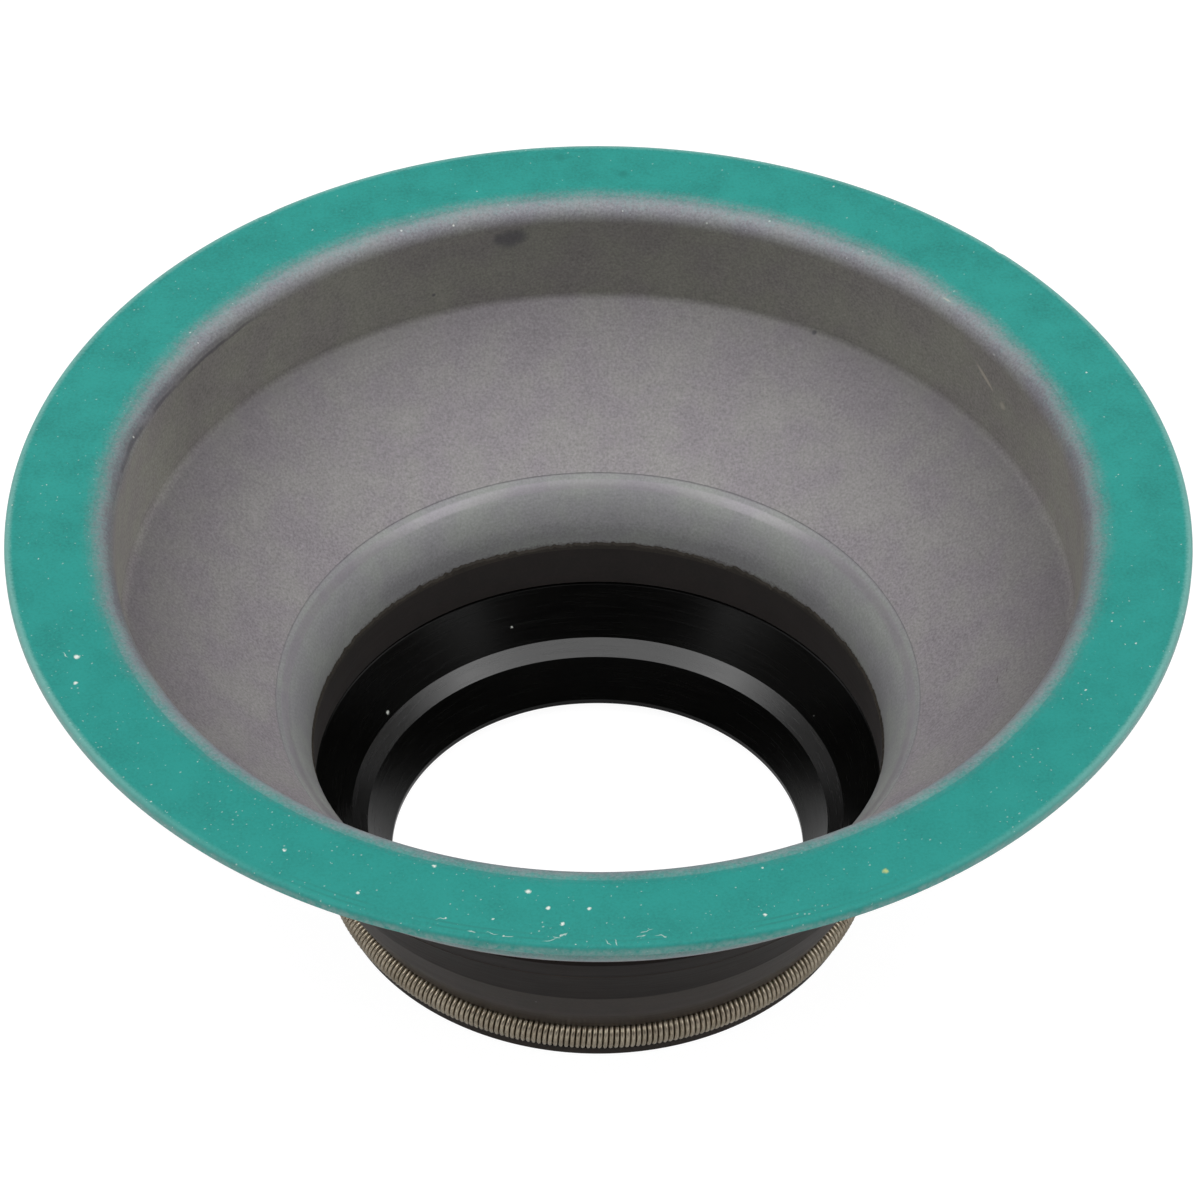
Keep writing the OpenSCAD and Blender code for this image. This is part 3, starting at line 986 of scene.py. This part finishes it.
def build_case():
    """The pressed steel funnel, with the fine witness line where the cone meets the throat's bend."""
    inner = [(rim, face_z, RIM_R), (wall_in, face_z, FLANGE_BEND_R),
             (wall_in, wall_corner_z, WALL_BEND_R - SHEET_T), (throat, throat_corner_z, THROAT_BEND_R),
             (throat, sheet_end_z, 0)]
    path = inner + shifted(inner, SHEET_T)[::-1]
    turned = [corner(path[i - 1], path[i], path[(i + 1) % len(path)]) for i in range(len(path))]
    r, z, _ = turned[3][0]
    up_cone = (math.cos(CONE_ANGLE), math.sin(CONE_ANGLE))
    into = (up_cone[1], -up_cone[0])
    crease = [(r + up_cone[0] * CREASE_W, z + up_cone[1] * CREASE_W, True),
              (r + up_cone[0] * CREASE_W / 2 + into[0] * CREASE_DEPTH,
               z + up_cone[1] * CREASE_W / 2 + into[1] * CREASE_DEPTH, True)]
    bend = [(r, z, True)] + turned[3][1:]
    strips = [(BLASTED_STEEL, turned[0] + turned[1] + turned[2]), (CREASED_STEEL, crease),
              (DRAWN_STEEL, bend[:BAND_FROM]), (BURNISHED_STEEL, bend[BAND_FROM:BAND_TO]),
              (DRAWN_STEEL, bend[BAND_TO:] + turned[4]),
              (OUTER_STEEL, [p for points in turned[5:] for p in points])]
    lathe("case", strips, CASE_TURNS, nicked, "steel_case")


def build_coat():
    """The sealant on the flange, round its rim and down the press-fit wall, thinned out at both ends."""
    faces = [(wall_in + FLANGE_BEND_R + SEALANT_MARGIN, face_z, 0), (rim, face_z, RIM_R),
             (rim, face_z - SHEET_T, RIM_R), (wall_out, face_z - SHEET_T, FLANGE_BEND_R - SHEET_T),
             (wall_out, wall_land_z + SEALANT_BARE, 0)]
    skin = [list(p) for p in shifted(faces, SEALANT_T)]
    skin[0][0] += FEATHER
    skin[-1][1] += FEATHER
    outline = bent(faces) + bent(skin[::-1])
    lathe("sealant", [(GREEN_SEALANT, outline)], COAT_TURNS, nicked, "sealant_coat")


def build_lip():
    """The rubber lip, with the torn edge of its lining and the parting ridge round its sleeve."""
    sheet = [(wall_in, wall_corner_z, 0), (throat, throat_corner_z, THROAT_BEND_R), (throat, sheet_end_z, 0)]
    under = shifted(sheet, SHEET_T)
    seat_top = (collar, under[1][1] + (collar - under[1][0]) * math.tan(CONE_ANGLE), True)
    seat = [seat_top] + bent(under)[1:] + [(throat, sheet_end_z, True)]
    flash = [(throat, flash_top, True), (lining, flash_top - LINING_T, True)]
    wall = [(lining, flash_top - FLASH_H, False), (lining, step_z + HEEL_GROOVE, True)]
    flex = [(lining + HEEL_GROOVE, step_z, True), (lining - HEEL_GROOVE / 4, step_z - HEEL_GROOVE / 2, True)]
    edge_side = [(ledge_in, ledge_in_z, True), (edge, edge_top_z, True), (edge, OIL_FACE_H, True)]
    toe = (corner((edge, OIL_FACE_H), (toe_in, 0, TOE_R), (toe_out, 0))
           + corner((toe_in, 0), (toe_out, 0, TOE_R), (toe_out, spring_z)))
    below, above = -math.acos(TOE_REACH / groove_r), math.acos(BROW_W / groove_r)
    groove = arc((ring, spring_z), groove_r, below, above - below - 2 * math.pi)
    groove[0] = (*groove[0][:2], True)
    groove[-1] = (*groove[-1][:2], True)
    head_mid = ((waist + brow) / 2 + HEAD_BULGE, (waist_z + brow_z) / 2, HEAD_R)
    head = corner((brow, brow_z), head_mid, (waist, waist_z))
    run, climb = math.sin(SLEEVE_ANGLE), math.cos(SLEEVE_ANGLE)
    foot = waist + (RIDGE_Z - waist_z) * math.tan(SLEEVE_ANGLE)
    ridge = [(foot, RIDGE_Z, True),
             (foot + run * RIDGE_W / 2 + climb * RIDGE_H,
              RIDGE_Z + climb * RIDGE_W / 2 - run * RIDGE_H, True),
             (foot + run * RIDGE_W, RIDGE_Z + climb * RIDGE_W, True)]
    shoulder = corner((waist, waist_z), (collar, collar_z, TOE_R), seat_top)
    strips = [(MOULDED_RUBBER, seat), (FLASH_RUBBER, flash), (LINING_RUBBER, wall), (FLEX_RUBBER, flex),
              (LEDGE_RUBBER, [(ledge_out, ledge_out_z, True)]), (FLEX_RUBBER, edge_side),
              (HEAD_RUBBER, toe), (MOULDED_RUBBER, groove[:-1]), (HEAD_RUBBER, groove[-1:] + head),
              (MOULDED_RUBBER, [(waist, waist_z, True)]), (HEAD_RUBBER, ridge[:2]),
              (MOULDED_RUBBER, ridge[2:] + shoulder)]
    lathe("lip", strips, LIP_TURNS, torn_flash, "sealing_lip")


# Steps round one coil of the spring, and sides of its wire
COIL_STEPS = 26
WIRE_SIDES = 9


def build_spring():
    """The garter spring: one wire wound in close coils and closed into a ring."""
    mean = (COIL_D - WIRE_D) / 2
    coils = math.floor(2 * math.pi * (ring - mean) / (WIRE_D + COIL_GAP))
    steps = coils * COIL_STEPS
    verts = []
    for k in range(steps):
        a = 2 * math.pi * k / COIL_STEPS
        b = 2 * math.pi * k / steps
        out = Vector((math.cos(b), math.sin(b), 0))
        along = Vector((-math.sin(b), math.cos(b), 0))
        up = Vector(UP)
        away = out * math.cos(a) + up * math.sin(a)
        middle = out * ring + up * spring_z + away * mean
        rise = along * (ring + mean * math.cos(a)) / coils
        run = (out * -math.sin(a) + up * math.cos(a)) * mean + rise
        side = run.normalized().cross(away)
        for s in range(WIRE_SIDES):
            c = 2 * math.pi * s / WIRE_SIDES
            verts.append((middle + (away * math.cos(c) + side * math.sin(c)) * WIRE_D / 2) * MM)
    faces = []
    for k in range(steps):
        here, there = k * WIRE_SIDES, (k + 1) % steps * WIRE_SIDES
        for s in range(WIRE_SIDES):
            n = (s + 1) % WIRE_SIDES
            faces.append((here + s, here + n, there + n, there + s))
    piece("spring", verts, faces, [SPRING_WIRE], [0] * len(faces), lambda a, b: False,
          "garter_spring")


build_case()
build_coat()
build_lip()
build_spring()


# Stage, light and camera

WHITE = (1.0, 1.0, 1.0, 1.0)
FLOOR_WHITE = (0.9, 0.9, 0.9, 1.0)
FLOOR_R = 4.0
FLOOR_GAP = 0.02 * MM
FLOOR_GLOW = 1.12
SHADOW_SHARE = 0.15
GLOSS_SHARE = 0.15


def build_floor():
    """A floor that keeps a soft shadow, shows white to the eye and in gloss, and is clear from below."""
    material = bpy.data.materials.new("white_floor")
    material.use_nodes = True
    bench = Bench(material.node_tree)
    material.node_tree.nodes.clear()
    path = bench.lay("ShaderNodeLightPath").outputs
    seen = bench.fold("MAXIMUM", (path["Is Camera Ray"], path["Is Transmission Ray"],
                                  bench.times(path["Is Glossy Ray"], GLOSS_SHARE)))
    matt = bench.lay("ShaderNodeBsdfDiffuse", {"Color": FLOOR_WHITE}).outputs[0]
    glow = bench.lay("ShaderNodeEmission", {"Color": WHITE, "Strength": FLOOR_GLOW}).outputs[0]
    share = bench.times(seen, 1 - SHADOW_SHARE)
    top = bench.lay("ShaderNodeMixShader", {0: share, 1: matt, 2: glow}).outputs[0]
    from_below = bench.lay("ShaderNodeNewGeometry").outputs["Backfacing"]
    clear = bench.lay("ShaderNodeBsdfTransparent").outputs[0]
    sheet = bench.lay("ShaderNodeMixShader", {0: from_below, 1: top, 2: clear}).outputs[0]
    bench.lay("ShaderNodeOutputMaterial", {"Surface": sheet})
    mesh = bpy.data.meshes.new("floor")
    corners = [(FLOOR_R * x, FLOOR_R * y, -FLOOR_GAP) for x, y in ((-1, -1), (1, -1), (1, 1), (-1, 1))]
    mesh.from_pydata(corners, [], [(0, 1, 2, 3)])
    mesh.materials.append(material)
    floor = bpy.data.objects.new("floor", mesh)
    bpy.context.scene.collection.objects.link(floor)


# The room's light by height: (from, to, glow) of the white sweep and of the ceiling, and the rest
SWEEP = (math.sin(math.radians(16)), math.sin(math.radians(4)), 0.7)
CEILING = (0.6, 0.95, 0.3)
ROOM_GLOW = 0.04


def build_world():
    """A white sweep round the horizon under a dim room."""
    world = bpy.data.worlds.new("studio")
    bpy.context.scene.world = world
    world.use_nodes = True
    bench = Bench(world.node_tree)
    background = world.node_tree.nodes["Background"]
    way = bench.lay("ShaderNodeTexCoord").outputs["Generated"]
    height = bench.lay("ShaderNodeSeparateXYZ", {0: way}).outputs["Z"]
    glow = bench.plus(bench.rise(height, *SWEEP), bench.rise(height, *CEILING), ROOM_GLOW)
    bench.put(background.inputs["Color"], WHITE)
    bench.put(background.inputs["Strength"], glow)


# Lamps: name, place, target, width and depth in metres, watts
LAMPS = (
    ("top_softbox", (0, -0.08, 0.75), (0, -0.08, 0), 1.9, 1.14, 11.6),
    ("right_softbox", (0.62, -0.36, 0.56), (0, 0, 0.02), 0.36, 0.36, 0.68),
    ("left_softbox", (-0.62, -0.36, 0.56), (0, 0, 0.02), 0.36, 0.36, 0.68))


def softbox(name, place, target, width, depth, watts):
    """A soft lamp that faces a target."""
    light = bpy.data.lights.new(name, "AREA")
    light.shape = "RECTANGLE"
    light.size = width
    light.size_y = depth
    light.energy = watts
    lamp = bpy.data.objects.new(name, light)
    lamp.location = place
    lamp.rotation_euler = (Vector(target) - Vector(place)).to_track_quat("-Z", "Y").to_euler()
    bpy.context.scene.collection.objects.link(lamp)


# The camera: distance and angles of the photographed view, about the middle of the flange's face
CAMERA_REACH = 4.5 * FLANGE_D * MM
CAMERA_RISE = math.radians(42.284)
CAMERA_PITCH = math.radians(43.214)
CAMERA_YAW = math.radians(0.025)
CAMERA_ROLL = math.radians(0.16)
CAMERA_LENS = 160.02
CAMERA_SENSOR = 36
CAMERA_CLIP = 0.01


def build_camera():
    """The camera of the photographed view."""
    data = bpy.data.cameras.new("camera")
    data.sensor_width = CAMERA_SENSOR
    data.lens = CAMERA_LENS
    data.clip_start = CAMERA_CLIP
    camera = bpy.data.objects.new("camera", data)
    level = math.cos(CAMERA_PITCH)
    ahead = Vector((math.sin(CAMERA_YAW) * level, math.cos(CAMERA_YAW) * level, -math.sin(CAMERA_PITCH)))
    right = ahead.cross(Vector(UP)).normalized()
    up = right.cross(ahead)
    turn = Matrix((right, up, -ahead)).transposed() @ Matrix.Rotation(CAMERA_ROLL, 3, "Z")
    camera.matrix_world = turn.to_4x4()
    camera.location = (0, -CAMERA_REACH * math.cos(CAMERA_RISE),
                       CAMERA_REACH * math.sin(CAMERA_RISE) + flange_z * MM)
    bpy.context.scene.collection.objects.link(camera)
    bpy.context.scene.camera = camera


build_floor()
build_world()
for lamp in LAMPS:
    softbox(*lamp)
build_camera()
bpy.context.scene.view_settings.view_transform = "Standard"
